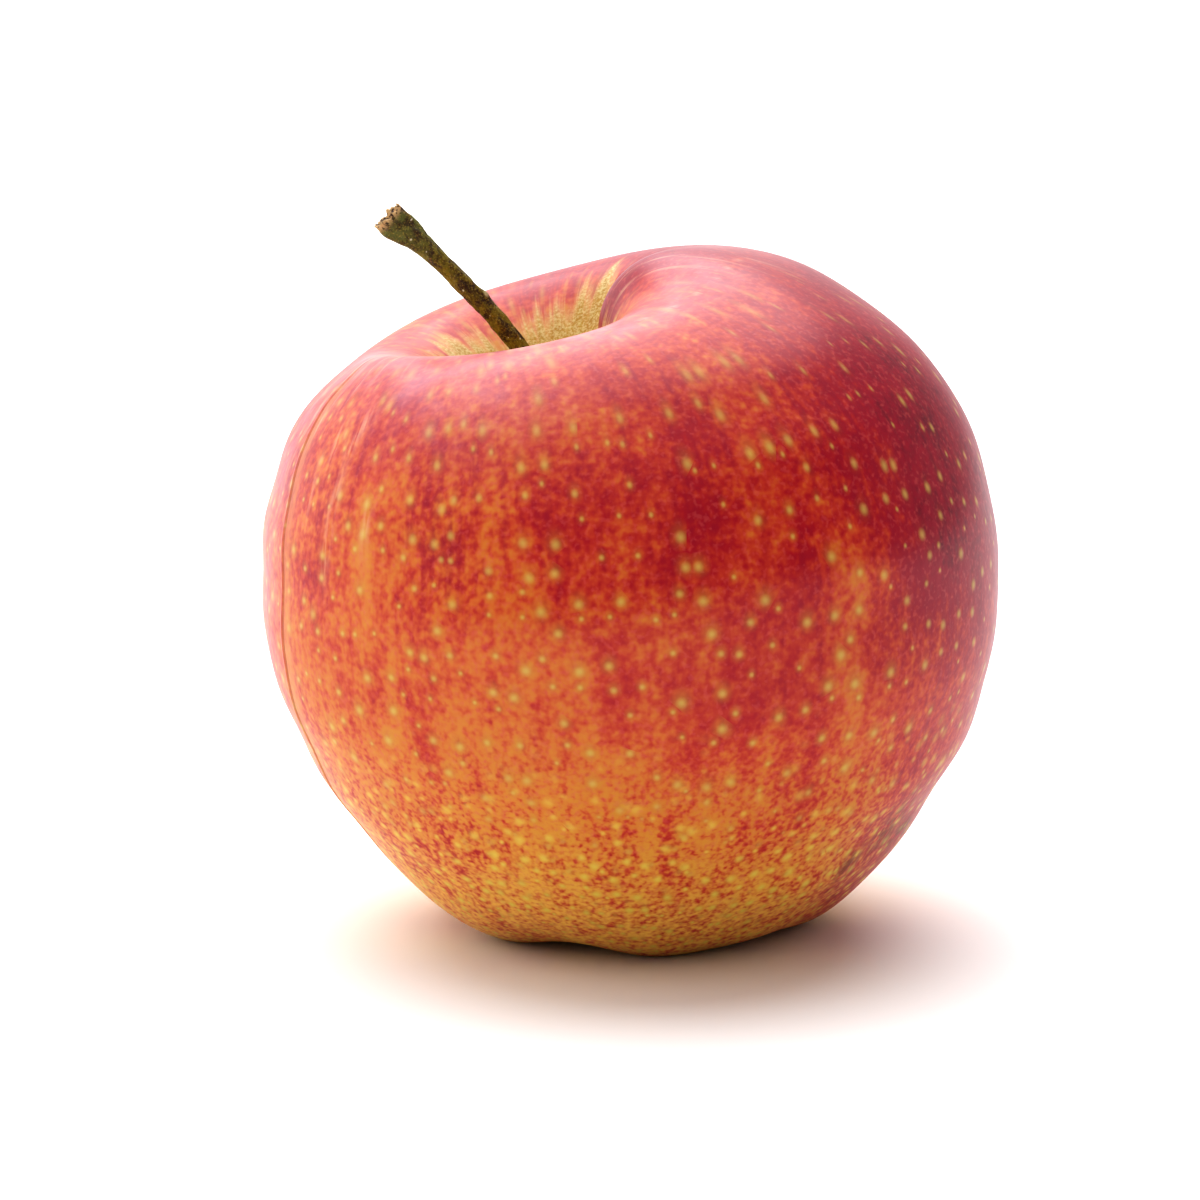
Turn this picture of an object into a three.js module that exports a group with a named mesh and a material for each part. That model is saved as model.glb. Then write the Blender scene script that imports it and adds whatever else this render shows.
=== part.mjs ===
// Apple: a ripe red and yellow dessert apple with its stem, and with the dried
// sepals and stamens of the flower in the basin underneath.
// Millimetres, +Z up. The front of the fruit faces -Y, its higher shoulder is at +X.
// It stands on the flats of its foot lobes at Z = 0, with the middle of its box over the origin.
import * as THREE from "three";

// ---- driving dimensions ----

// The outline from the bottom of the stem cavity, over the shoulder and the cheek, to the
// bottom of the basin: control points of a smooth cubic spline that runs close by them.
// lean is each one's share of the sideways lean of the cavity, tilt its share of the slope
// of the rim, and rows the number of mesh rows from it to the next one.
const outline = [
  { name: "cavity bottom", radius: 0, height: 49.8, lean: 0.75, tilt: 0, rows: 1 },
  { name: "cavity floor", radius: 2, height: 50, lean: 0.75, tilt: 0, rows: 2 },
  { name: "cavity wall low", radius: 4.5, height: 52.8, lean: 0.75, tilt: 0.3, rows: 3 },
  { name: "cavity wall high", radius: 8.5, height: 58.8, lean: 0.85, tilt: 0.7, rows: 4 },
  { name: "rim", radius: 15, height: 64.8, lean: 0.9, tilt: 1, rows: 4 },
  { name: "shoulder", radius: 24.5, height: 64.3, lean: 0.5, tilt: 1, rows: 4 },
  { name: "upper cheek", radius: 34.5, height: 55.3, lean: 0.15, tilt: 0.7, rows: 4 },
  { name: "cheek", radius: 38.6, height: 39.3, lean: 0, tilt: 0.3, rows: 4 },
  { name: "lower cheek", radius: 36.4, height: 22.3, lean: 0, tilt: 0, rows: 4 },
  { name: "flank", radius: 27, height: 6.3, lean: 0, tilt: 0, rows: 4 },
  { name: "foot", radius: 18, height: -0.4, lean: 0, tilt: 0, rows: 3 },
  { name: "basin edge", radius: 10.5, height: -0.8, lean: 0, tilt: 0, rows: 3 },
  { name: "basin wall", radius: 6, height: 3.8, lean: 0, tilt: 0, rows: 2 },
  { name: "basin floor", radius: 2.2, height: 7.8, lean: 0, tilt: 0, rows: 1 },
  { name: "basin bottom", radius: 0, height: 8, lean: 0, tilt: 0, rows: 0 },
];
const lean = new THREE.Vector2(-9, 0);
const rimRise = 4;
const rimRiseLongitude = 12;
const lobeCount = 5;
const lobeDepth = 0.65;
const lobeLongitude = 283;
const lobeRow = 10;
const lobeReach = 1.6;

// Hand-shaped swellings and hollows. Longitude and spread are degrees round the fruit, with 0
// at +X and 270 at the front; row and reach count along the outline; out and up are sizes.
const swellings = [
  { name: "high right lobe", longitude: 352, spread: 40, row: 4, reach: 1.2, out: -6, up: 2.5 },
  { name: "low left rim", longitude: 212, spread: 30, row: 4, reach: 1.2, out: 2, up: 0.8 },
  { name: "back left rim", longitude: 150, spread: 40, row: 4.5, reach: 1.2, out: 0, up: -0.6 },
  { name: "flat left shoulder", longitude: 185, spread: 50, row: 5.2, reach: 1, out: -1, up: -1.6 },
  { name: "back right rim", longitude: 60, spread: 40, row: 4.5, reach: 1.2, out: 0, up: 0.8 },
  { name: "lean left flank", longitude: 200, spread: 50, row: 9.3, reach: 0.9, out: -1.2, up: 0.8 },
  { name: "flat back", longitude: 115, spread: 32, row: 7.5, reach: 2.5, out: -0.8, up: 0 },
  { name: "flat front cheek", longitude: 235, spread: 22, row: 7.2, reach: 2, out: -0.4, up: 0 },
  { name: "pressed flank", longitude: 327, spread: 13, row: 8.8, reach: 0.6, out: -0.7, up: 0 },
  { name: "shallow right notch", longitude: 315, spread: 19, row: 9.8, reach: 1.2, out: 0.6, up: -1.1 },
  { name: "narrow front foot", longitude: 296, spread: 40, row: 9.7, reach: 1.3, out: -3, up: 0 },
  { name: "right lobe over cavity", longitude: 5, spread: 30, row: 3.3, reach: 0.6, out: -2.6, up: 0.3 },
];
const fruitSides = 72;

// Stem: middle line from the cavity to the broken end, and its thickness along the way.
const stemRoute = [
  [-6.7, 0, 50.6],
  [-8.4, -0.2, 55.2],
  [-11.6, -0.4, 60.1],
  [-15.9, -0.6, 65.1],
  [-20.3, -0.8, 69.4],
  [-22.9, -1, 71.8],
  [-24.6, -1.1, 73.7],
].map((point) => new THREE.Vector3(...point));
const stemRadius = 0.95;
const stemFootRadius = 1.35;
const stemFootReach = 0.12;
const stemEndRadius = 1.75;
const stemEndReach = 0.13;
const stemSides = 14;
const stemSteps = 26;

// Dried flower in the basin: it hangs from the basin's bottom.
const basinCentre = new THREE.Vector3(0, 0, 6.6);
const sepalCount = 5;
const sepalLongitude = 20;
const sepalLength = 5.2;
const sepalWidth = 2.7;
const sepalThickness = 0.45;
const sepalRing = 2.1;
const sepalSteps = 9;
const sepalSides = 10;
const stamenCount = 10;
const stamenLength = 2.9;
const stamenRadius = 0.16;
const stamenHeadRadius = 0.3;
const stamenRing = 0.95;
const stamenSteps = 6;
const stamenSides = 6;

const bell = (distance, reach) => Math.exp(-((distance / reach) ** 2));
const turnBetween = (a, b) => THREE.MathUtils.euclideanModulo(a - b + 180, 360) - 180;
const cosDegrees = (degrees) => Math.cos(THREE.MathUtils.degToRad(degrees));

// ---- geometry shared by every piece ----

// A closed body from rings of points, each ring with as many points as the next, and one
// point that closes each end. The rings turn anticlockwise seen from the first end.
function ringedBody(first, rings, last) {
  const sides = rings[0].length;
  const points = [first, ...rings.flat(), last];
  const lastIndex = points.length - 1;
  const corner = (ring, side) => 1 + ring * sides + (side % sides);
  const faces = [];
  for (let side = 0; side < sides; side += 1) {
    faces.push(0, corner(0, side), corner(0, side + 1));
    faces.push(lastIndex, corner(rings.length - 1, side + 1), corner(rings.length - 1, side));
    for (let ring = 0; ring < rings.length - 1; ring += 1) {
      const a = corner(ring, side);
      const b = corner(ring, side + 1);
      const c = corner(ring + 1, side + 1);
      const d = corner(ring + 1, side);
      faces.push(a, d, c, a, c, b);
    }
  }
  const geometry = new THREE.BufferGeometry().setFromPoints(points);
  geometry.setIndex(faces);
  geometry.computeVertexNormals();
  return geometry;
}

// A body swept along a curve: section(t, angle) gives the offsets sideways and upwards.
function sweptBody(curve, steps, sides, section) {
  const frames = curve.computeFrenetFrames(steps);
  const rings = [];
  for (let step = 0; step <= steps; step += 1) {
    const t = step / steps;
    const centre = curve.getPointAt(t);
    const ring = [];
    for (let side = 0; side < sides; side += 1) {
      const [across, up] = section(t, (2 * Math.PI * side) / sides);
      ring.push(
        centre.clone()
          .addScaledVector(frames.binormals[step], across)
          .addScaledVector(frames.normals[step], up)
      );
    }
    rings.push(ring);
  }
  return ringedBody(curve.getPointAt(0), rings, curve.getPointAt(1));
}

// ---- fruit ----

// The outline's control points at one longitude, with the lean, the lobes and the swellings.
function controlsAt(longitude) {
  return outline.map((station, row) => {
    let radius = station.radius;
    let height = station.height + rimRise * station.tilt * cosDegrees(longitude - rimRiseLongitude);
    const lobes = 1 - cosDegrees(lobeCount * (longitude - lobeLongitude));
    height += lobeDepth * bell(row - lobeRow, lobeReach) * lobes;
    for (const swelling of swellings) {
      const share =
        bell(turnBetween(longitude, swelling.longitude), swelling.spread) *
        bell(row - swelling.row, swelling.reach);
      radius += swelling.out * share;
      height += swelling.up * share;
    }
    return new THREE.Vector3(
      lean.x * station.lean + radius * cosDegrees(longitude),
      lean.y * station.lean + radius * cosDegrees(longitude - 90),
      height
    );
  });
}

// A point of the uniform cubic spline, part of the way from one control point to the next.
function splinePoint(controls, row, part) {
  const end = controls.length - 1;
  const at = (index) => {
    if (index < 0) return controls[0].clone().multiplyScalar(2).sub(controls[1]);
    if (index > end) return controls[end].clone().multiplyScalar(2).sub(controls[end - 1]);
    return controls[index];
  };
  const rest = 1 - part;
  return new THREE.Vector3()
    .addScaledVector(at(row - 1), rest ** 3 / 6)
    .addScaledVector(at(row), (3 * part ** 3 - 6 * part ** 2 + 4) / 6)
    .addScaledVector(at(row + 1), (3 * rest ** 3 - 6 * rest ** 2 + 4) / 6)
    .addScaledVector(at(row + 2), part ** 3 / 6);
}

function fruitGeometry() {
  const columns = [];
  for (let side = 0; side < fruitSides; side += 1) {
    const controls = controlsAt((360 * side) / fruitSides);
    const column = [];
    outline.forEach((station, row) => {
      for (let step = 0; step < station.rows; step += 1) {
        column.push(splinePoint(controls, row, step / station.rows));
      }
    });
    columns.push(column);
  }
  const rings = [];
  for (let row = 1; row < columns[0].length; row += 1) {
    rings.push(columns.map((column) => column[row]));
  }
  // The foot lobes are pressed flat where they rest.
  for (const point of rings.flat()) point.z = Math.max(point.z, 0);
  const endPoint = (station) =>
    new THREE.Vector3(lean.x * station.lean, lean.y * station.lean, station.height);
  return ringedBody(endPoint(outline[0]), rings, endPoint(outline.at(-1)));
}

// ---- stem ----

function stemGeometry() {
  const curve = new THREE.CatmullRomCurve3(stemRoute, false, "centripetal");
  return sweptBody(curve, stemSteps, stemSides, (t, angle) => {
    const radius =
      stemRadius +
      (stemFootRadius - stemRadius) * bell(t, stemFootReach) +
      (stemEndRadius - stemRadius) * bell(1 - t, stemEndReach);
    return [radius * Math.cos(angle), radius * Math.sin(angle)];
  });
}

// ---- dried flower ----

// A narrow pointed leaf that hangs from the basin's bottom, first inwards, then curling out.
function sepalGeometry() {
  const curve = new THREE.CatmullRomCurve3([
    new THREE.Vector3(sepalRing, 0, 0),
    new THREE.Vector3(sepalRing - 0.2, 0, -0.4 * sepalLength),
    new THREE.Vector3(sepalRing - 0.3, 0, -0.7 * sepalLength),
    new THREE.Vector3(sepalRing + 0.6, 0, -0.9 * sepalLength),
  ]);
  return sweptBody(curve, sepalSteps, sepalSides, (t, angle) => {
    const taper = Math.cos((0.47 * Math.PI) * t ** 1.5);
    const thick = 0.5 * sepalThickness * Math.max(taper, 0.4) * Math.cos(angle);
    const wide = 0.5 * sepalWidth * taper * Math.sin(angle);
    return [thick, wide];
  });
}

// A thin stalk with a small head, leaning a little outwards.
function stamenGeometry() {
  const curve = new THREE.CatmullRomCurve3([
    new THREE.Vector3(0, 0, 0),
    new THREE.Vector3(0.1, 0, -0.5 * stamenLength),
    new THREE.Vector3(0.35, 0.1, -stamenLength),
  ]);
  return sweptBody(curve, stamenSteps, stamenSides, (t, angle) => {
    const radius = stamenRadius + (stamenHeadRadius - stamenRadius) * bell(1 - t, 0.2);
    return [radius * Math.cos(angle), radius * Math.sin(angle)];
  });
}

// ---- the apple ----

const finishes = {
  skin: { color: 0xc2452f, roughness: 0.35, metalness: 0 },
  stem: { color: 0x6b5a24, roughness: 0.8, metalness: 0 },
  driedLeaf: { color: 0x5a4630, roughness: 0.95, metalness: 0 },
};

const apple = new THREE.Group();

function addPiece(name, geometry, finish) {
  const piece = new THREE.Mesh(geometry, new THREE.MeshStandardMaterial(finishes[finish]));
  piece.name = name;
  apple.add(piece);
  return piece;
}

addPiece("fruit", fruitGeometry(), "skin");
addPiece("stem", stemGeometry(), "stem");
for (let index = 0; index < sepalCount; index += 1) {
  const sepal = addPiece(`sepal_${index + 1}`, sepalGeometry(), "driedLeaf");
  sepal.position.copy(basinCentre);
  sepal.rotation.z = THREE.MathUtils.degToRad(sepalLongitude + (360 * index) / sepalCount);
}
for (let index = 0; index < stamenCount; index += 1) {
  const turn = (2 * Math.PI * index) / stamenCount;
  const stamen = addPiece(`stamen_${index + 1}`, stamenGeometry(), "driedLeaf");
  stamen.position.set(stamenRing * Math.cos(turn), stamenRing * Math.sin(turn), basinCentre.z);
  stamen.rotation.z = turn;
}

// The middle of the fruit's box comes over the origin.
const middle = new THREE.Box3().setFromObject(apple).getCenter(new THREE.Vector3());
apple.position.set(-middle.x, -middle.y, 0);

export default apple;
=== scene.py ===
import math

import bpy
import numpy as np
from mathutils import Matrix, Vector, noise


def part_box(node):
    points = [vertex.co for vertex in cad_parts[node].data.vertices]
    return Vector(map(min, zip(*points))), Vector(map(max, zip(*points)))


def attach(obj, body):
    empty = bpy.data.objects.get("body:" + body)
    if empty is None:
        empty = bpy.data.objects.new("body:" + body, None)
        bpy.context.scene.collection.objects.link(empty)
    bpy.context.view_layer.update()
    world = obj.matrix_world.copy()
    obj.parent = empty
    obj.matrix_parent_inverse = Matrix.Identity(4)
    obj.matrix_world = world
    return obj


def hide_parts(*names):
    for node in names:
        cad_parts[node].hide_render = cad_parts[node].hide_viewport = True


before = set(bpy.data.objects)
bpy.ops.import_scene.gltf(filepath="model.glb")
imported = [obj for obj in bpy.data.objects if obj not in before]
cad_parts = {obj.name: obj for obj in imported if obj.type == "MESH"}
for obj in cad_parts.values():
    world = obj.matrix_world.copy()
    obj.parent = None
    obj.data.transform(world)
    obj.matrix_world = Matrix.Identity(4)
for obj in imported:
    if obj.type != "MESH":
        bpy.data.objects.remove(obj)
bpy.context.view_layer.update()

scene = bpy.context.scene
print("frame loaded:", len(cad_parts), "parts")


# helpers for shapes

def bell(distance, reach):
    return np.exp(-(distance / reach) ** 2)


def turnBetween(a, b):
    return (a - b + 180) % 360 - 180


def cosDeg(angle):
    return np.cos(np.radians(angle))


def sinDeg(angle):
    return np.sin(np.radians(angle))


def easeBetween(low, high, value):
    part = np.clip((value - low) / (high - low), 0, 1)
    return part * part * (3 - 2 * part)


def splineThrough(controls, steps):
    # uniform cubic spline that runs close by its control points and reaches the two ends
    first = 2 * controls[..., :1, :] - controls[..., 1:2, :]
    last = 2 * controls[..., -1:, :] - controls[..., -2:-1, :]
    padded = np.concatenate([first, controls, last], axis=-2)
    spans = controls.shape[-2] - 1
    row = np.minimum((steps * spans).astype(int), spans - 1)
    part = (steps * spans - row)[:, None]
    rest = 1 - part
    return (rest ** 3 / 6 * padded[..., row, :]
            + (3 * part ** 3 - 6 * part ** 2 + 4) / 6 * padded[..., row + 1, :]
            + (3 * rest ** 3 - 6 * rest ** 2 + 4) / 6 * padded[..., row + 2, :]
            + part ** 3 / 6 * padded[..., row + 3, :])


def lengthsAlong(line):
    return np.concatenate([[0], np.cumsum(np.linalg.norm(np.diff(line, axis=0), axis=1))])


def ringedMesh(name, rings, first, last):
    # closed body: rings is (ring, side, xyz), first and last are the points that close the ends
    ringCount, sides = rings.shape[:2]
    points = np.concatenate([[first], rings.reshape(-1, 3), [last]])
    side = np.arange(sides)
    nextSide = (side + 1) % sides
    ring = np.arange(ringCount - 1)[:, None]
    quads = np.stack([1 + ring * sides + side, 1 + (ring + 1) * sides + side,
                      1 + (ring + 1) * sides + nextSide, 1 + ring * sides + nextSide], axis=-1)
    lastRing = 1 + (ringCount - 1) * sides
    top = [(0, 1 + a, 1 + b) for a, b in zip(side, nextSide)]
    bottom = [(len(points) - 1, lastRing + b, lastRing + a) for a, b in zip(side, nextSide)]
    mesh = bpy.data.meshes.new(name)
    mesh.from_pydata(points.tolist(), [], top + quads.reshape(-1, 4).tolist() + bottom)
    mesh.shade_smooth()
    mesh.validate()
    piece = bpy.data.objects.new(name, mesh)
    scene.collection.objects.link(piece)
    return piece


def addAttribute(piece, name, values):
    # one number, or one vector, for each point of the mesh
    values = np.asarray(values, np.float32)
    kind, field = ("FLOAT", "value") if values.ndim == 1 else ("FLOAT_VECTOR", "vector")
    attribute = piece.data.attributes.new(name, kind, "POINT")
    attribute.data.foreach_set(field, values.ravel())


def seatFor(node, points):
    # a move and stretch, for points in mm, that fills the box of the CAD node with them
    low, high = [np.array(corner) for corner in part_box(node)]
    ownLow, ownHigh = points.reshape(-1, 3).min(axis=0), points.reshape(-1, 3).max(axis=0)
    return lambda some: low + (some - ownLow) * (high - low) / (ownHigh - ownLow)


def place(piece, node, material):
    piece.data.materials.append(material)
    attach(piece, "root")
    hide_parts(node)


# helpers for materials

def colour(code):
    # "#rrggbb" as a paint programme shows it, to the linear colour that a shader takes
    parts = [int(code[at:at + 2], 16) / 255 for at in (1, 3, 5)]
    return [p / 12.92 if p <= 0.04045 else ((p + 0.055) / 1.055) ** 2.4 for p in parts] + [1]


def addNode(tree, kind, values=(), **settings):
    made = tree.nodes.new("ShaderNode" + kind)
    for key, value in settings.items():
        setattr(made, key, value)
    for key, value in dict(values).items():
        if isinstance(value, bpy.types.NodeSocket):
            tree.links.new(value, made.inputs[key])
        else:
            made.inputs[key].default_value = value
    return made


def calc(tree, operation, a, b=0.0):
    return addNode(tree, "Math", {0: a, 1: b}, operation=operation).outputs[0]


def longSide(tree, a, b):
    squares = calc(tree, "ADD", calc(tree, "MULTIPLY", a, a), calc(tree, "MULTIPLY", b, b))
    return calc(tree, "SQRT", squares)


def mixColour(tree, share, a, b):
    return addNode(tree, "Mix", {0: share, 6: a, 7: b}, data_type="RGBA").outputs[2]


def ease(tree, value, low, high, start=0.0, end=1.0):
    return addNode(tree, "MapRange", {0: value, 1: low, 2: high, 3: start, 4: end},
                   interpolation_type="SMOOTHSTEP").outputs[0]


def readAttribute(tree, name, output="Fac"):
    return addNode(tree, "Attribute", attribute_name=name).outputs[output]


def placeInMm(tree):
    spot = addNode(tree, "TexCoord").outputs["Object"]
    return addNode(tree, "VectorMath", {0: spot, "Scale": 1000.0}, operation="SCALE").outputs[0]


def stretched(tree, vector, scale):
    return addNode(tree, "Mapping", {"Vector": vector, "Scale": scale}).outputs[0]


def clouds(tree, vector, scale, detail=2.0, rough=0.5):
    return addNode(tree, "TexNoise", {"Vector": vector, "Scale": scale, "Detail": detail,
                                      "Roughness": rough}).outputs["Fac"]


def newMaterial(name):
    material = bpy.data.materials.new(name)
    material.use_nodes = True
    return material, material.node_tree, material.node_tree.nodes["Principled BSDF"]


def newGroup(name, inputs, outputs):
    group = bpy.data.node_groups.new(name, "ShaderNodeTree")
    for label, kind, value in inputs:
        socket = group.interface.new_socket(label, in_out="INPUT", socket_type=kind)
        socket.default_value = value
    for label, kind in outputs:
        group.interface.new_socket(label, in_out="OUTPUT", socket_type=kind)
    return group, group.nodes.new("NodeGroupInput"), group.nodes.new("NodeGroupOutput")


def useGroup(tree, group, values):
    made = tree.nodes.new("ShaderNodeGroup")
    made.node_tree = group
    for key, value in values.items():
        if isinstance(value, bpy.types.NodeSocket):
            tree.links.new(value, made.inputs[key])
        else:
            made.inputs[key].default_value = value
    return made


# effects that several finishes share

def makeStipple():
    # fine soft-edged speckle that covers as much of the surface as Cover says
    group, given, result = newGroup("stipple", [
        ("Vector", "NodeSocketVector", (0, 0, 0)), ("Cover", "NodeSocketFloat", 0.5),
        ("Scale", "NodeSocketFloat", 1.0), ("Depth", "NodeSocketFloat", 1.0),
        ("Softness", "NodeSocketFloat", 0.1)], [("Mask", "NodeSocketFloat")])
    grain = clouds(group, given.outputs["Vector"], given.outputs["Scale"], 2.5, 0.6)
    grain = calc(group, "SUBTRACT", grain, 0.5)
    grain = calc(group, "MULTIPLY", grain, given.outputs["Depth"])
    level = calc(group, "ADD", given.outputs["Cover"], grain)
    low = calc(group, "SUBTRACT", 0.5, given.outputs["Softness"])
    high = calc(group, "ADD", 0.5, given.outputs["Softness"])
    group.links.new(ease(group, level, low, high), result.inputs["Mask"])
    return group


def makeDots():
    # scattered round dots, some left out, each with a softer ring that trails off upwards
    group, given, result = newGroup("dots", [
        ("Vector", "NodeSocketVector", (0, 0, 0)), ("Spacing", "NodeSocketFloat", 3.0),
        ("Size", "NodeSocketFloat", 0.5), ("Halo", "NodeSocketFloat", 1.0),
        ("Tail", "NodeSocketFloat", 1.0), ("Share", "NodeSocketFloat", 0.7)],
        [("Mask", "NodeSocketFloat"), ("Ring", "NodeSocketFloat")])
    scale = calc(group, "DIVIDE", 1.0, given.outputs["Spacing"])
    cells = addNode(group, "TexVoronoi", {"Vector": given.outputs["Vector"], "Scale": scale,
                                          "Randomness": 0.92}, voronoi_dimensions="2D")
    offset = addNode(group, "VectorMath", {0: given.outputs["Vector"],
                                           1: cells.outputs["Position"]}, operation="SUBTRACT")
    offset = addNode(group, "SeparateXYZ", {0: offset.outputs[0]})
    across, along = offset.outputs["X"], offset.outputs["Y"]
    trailing = calc(group, "DIVIDE", calc(group, "MINIMUM", along, 0.0), given.outputs["Tail"])
    trailing = calc(group, "ADD", calc(group, "MAXIMUM", along, 0.0), trailing)
    distance = longSide(group, across, along)
    reach = longSide(group, across, trailing)
    pick = addNode(group, "SeparateColor", {0: cells.outputs["Color"]})
    kept = ease(group, pick.outputs[0], calc(group, "SUBTRACT", 1.0, given.outputs["Share"]),
                calc(group, "SUBTRACT", 1.02, given.outputs["Share"]))
    grown = ease(group, pick.outputs[1], 0.0, 1.0, 0.55, 1.25)
    size = calc(group, "MULTIPLY", given.outputs["Size"], grown)
    halo = calc(group, "MULTIPLY", given.outputs["Halo"], grown)
    mask = ease(group, distance, 0.0, size, 1.0, 0.0)
    ring = ease(group, reach, 0.0, halo, 1.0, 0.0)
    group.links.new(calc(group, "MULTIPLY", mask, kept), result.inputs["Mask"])
    group.links.new(calc(group, "MULTIPLY", ring, kept), result.inputs["Ring"])
    return group


stipple = makeStipple()
dots = makeDots()
print("shared effects ready")


# fruit: shape

fruitShape = {
    # bottom of the stem cavity, over shoulder and cheek, to the bottom of the basin, in mm:
    # radius, height, share of the lean, share of the rim's slope
    "outline": np.array([
        (0, 49.8, 0.75, 0), (2, 50, 0.75, 0), (4.5, 52.8, 0.75, 0.3), (8.5, 58.8, 0.85, 0.7),
        (15, 64.8, 0.9, 1), (24.5, 64.3, 0.5, 1), (34.5, 55.3, 0.15, 0.7), (38.6, 39.3, 0, 0.3),
        (36.4, 22.3, 0, 0), (27, 6.3, 0, 0), (18, -0.4, 0, 0), (10.5, -0.8, 0, 0),
        (6, 3.8, 0, 0), (2.2, 7.8, 0, 0), (0, 8, 0, 0)]),
    "lean": -9,
    "rimRise": 4,
    "rimRiseLongitude": 12,
    "lobeCount": 5,
    "lobeDepth": 0.65,
    "lobeLongitude": 283,
    "lobeRow": 10,
    "lobeReach": 1.6,
    # longitude (0 at +X, 270 in front), spread, row, reach, outwards, upwards
    "swellings": [
        (352, 40, 4, 1.2, -6, 2.5),    # high right lobe
        (212, 30, 4, 1.2, 2, 0.8),     # low left rim
        (150, 40, 4.5, 1.2, 0, -0.6),  # back left rim
        (185, 50, 5.2, 1, -1, -1.6),   # flat left shoulder
        (60, 40, 4.5, 1.2, 0, 0.8),    # back right rim
        (200, 50, 9.3, 0.9, -1.2, 0.8),  # lean left flank
        (115, 32, 7.5, 2.5, -0.8, 0),  # flat back
        (235, 22, 7.2, 2, -0.4, 0),    # flat front cheek
        (327, 13, 8.8, 0.6, -0.7, 0),  # pressed flank
        (315, 19, 9.8, 1.2, 0.6, -1.1),  # shallow right notch
        (296, 40, 9.7, 1.3, -3, 0),  # narrow front foot
        (5, 30, 3.3, 0.6, -2.6, 0.3),  # right lobe swelling over the cavity
    ],
    "sides": 380,
    "rings": 256,
    "unevenness": 0.16,    # slow swells all over the skin, and how many waves make them
    "swellWaves": 14,
    "seed": 11,
}
seamLine = {
    # the hairline seam down the left of the fruit: longitude, and how far it wanders
    "longitude": 199,
    "wander": 3.5,
    "start": 24,    # mm along the skin from the stem
    "end": 96,
    "height": 0.10,
    "width": 0.17,
    "stripe": 1.6,  # width of the pale stripe beside it
    "fruitRadius": 37.5,
}


def fruitControls(longitude):
    shape = fruitShape
    outline = shape["outline"]
    row = np.arange(len(outline))
    turn = longitude[:, None]
    lobes = 1 - cosDeg(shape["lobeCount"] * (turn - shape["lobeLongitude"]))
    radius = outline[:, 0] + 0 * turn
    height = (outline[:, 1]
              + shape["rimRise"] * outline[:, 3] * cosDeg(turn - shape["rimRiseLongitude"])
              + shape["lobeDepth"] * bell(row - shape["lobeRow"], shape["lobeReach"]) * lobes)
    for centre, spread, atRow, reach, out, up in shape["swellings"]:
        share = bell(turnBetween(turn, centre), spread) * bell(row - atRow, reach)
        radius = radius + out * share
        height = height + up * share
    x = shape["lean"] * outline[:, 2] + radius * cosDeg(turn)
    y = radius * sinDeg(turn)
    return np.stack([x, y, height], axis=-1)


def evenSteps(longitude, count):
    # spline steps that lie equally far apart along the outline at one longitude
    fine = np.linspace(0, 1, 3000)
    length = lengthsAlong(splineThrough(fruitControls(np.array([longitude])), fine)[0])
    return np.interp(np.linspace(0, length[-1], count), length, fine), length[-1]


def fromSeam(turn, along):
    # distance round the skin from the seam line, in mm, positive towards the front
    drift = seamLine["wander"] * np.sin(np.clip((along - 40) / 45, 0, 1) * math.pi)
    return turnBetween(turn, seamLine["longitude"] + drift) * math.radians(seamLine["fruitRadius"])


def makeFruit():
    shape = fruitShape
    # more columns where the seam line runs
    guess = np.linspace(0, 360, 3601)
    density = 1 + 3 * bell(turnBetween(guess, seamLine["longitude"] + 2), 8)
    share = np.concatenate([[0], np.cumsum(density[:-1])])
    longitude = np.interp(np.arange(shape["sides"]) / shape["sides"], share / share[-1], guess)
    steps, fullLength = evenSteps(270.0, shape["rings"])
    grid = splineThrough(fruitControls(longitude), steps)
    along = np.linspace(0, fullLength, shape["rings"])[None, :]
    turn = longitude[:, None]

    around = np.roll(grid, -1, axis=0) - np.roll(grid, 1, axis=0)
    normal = np.cross(around, np.gradient(grid, axis=1))
    normal /= np.maximum(np.linalg.norm(normal, axis=2, keepdims=True), 1e-9)
    normal *= np.sign(normal[0, shape["rings"] // 2, 0])    # outwards

    random = np.random.RandomState(shape["seed"])
    swell = np.zeros(grid.shape[:2])
    for _ in range(shape["swellWaves"]):
        waves, length = random.randint(1, 7), random.uniform(9, 60)
        start, begin = random.uniform(0, 360, 2)
        swell += cosDeg(waves * turn + start) * cosDeg(360 * along / length + begin)
    swell *= shape["unevenness"] / 2.6
    ends = easeBetween(0, 8, np.minimum(along, fullLength - along))
    gap = fromSeam(turn, along)
    onSeam = (easeBetween(seamLine["start"], seamLine["start"] + 8, along)
              * easeBetween(seamLine["end"], seamLine["end"] - 8, along))
    seam = seamLine["height"] * (bell(gap + 0.35, 0.3) - 0.8 * bell(gap, seamLine["width"]))
    grid = grid + normal * (swell * ends + seam * onSeam)[..., None]

    grid = grid[:, 1:-1].transpose(1, 0, 2)
    grid[..., 2] = np.maximum(grid[..., 2], 0)    # pressed flat where it rests
    first = np.array([shape["lean"] * shape["outline"][0, 2], 0, shape["outline"][0, 1]])
    last = np.array([0, 0, shape["outline"][-1, 1]])

    seat = seatFor("fruit", grid)
    piece = ringedMesh("apple_fruit", seat(grid), seat(first), seat(last))
    return piece, longitude, np.linspace(0, fullLength, shape["rings"])[1:-1]


# fruit: where the colours lie

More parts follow.
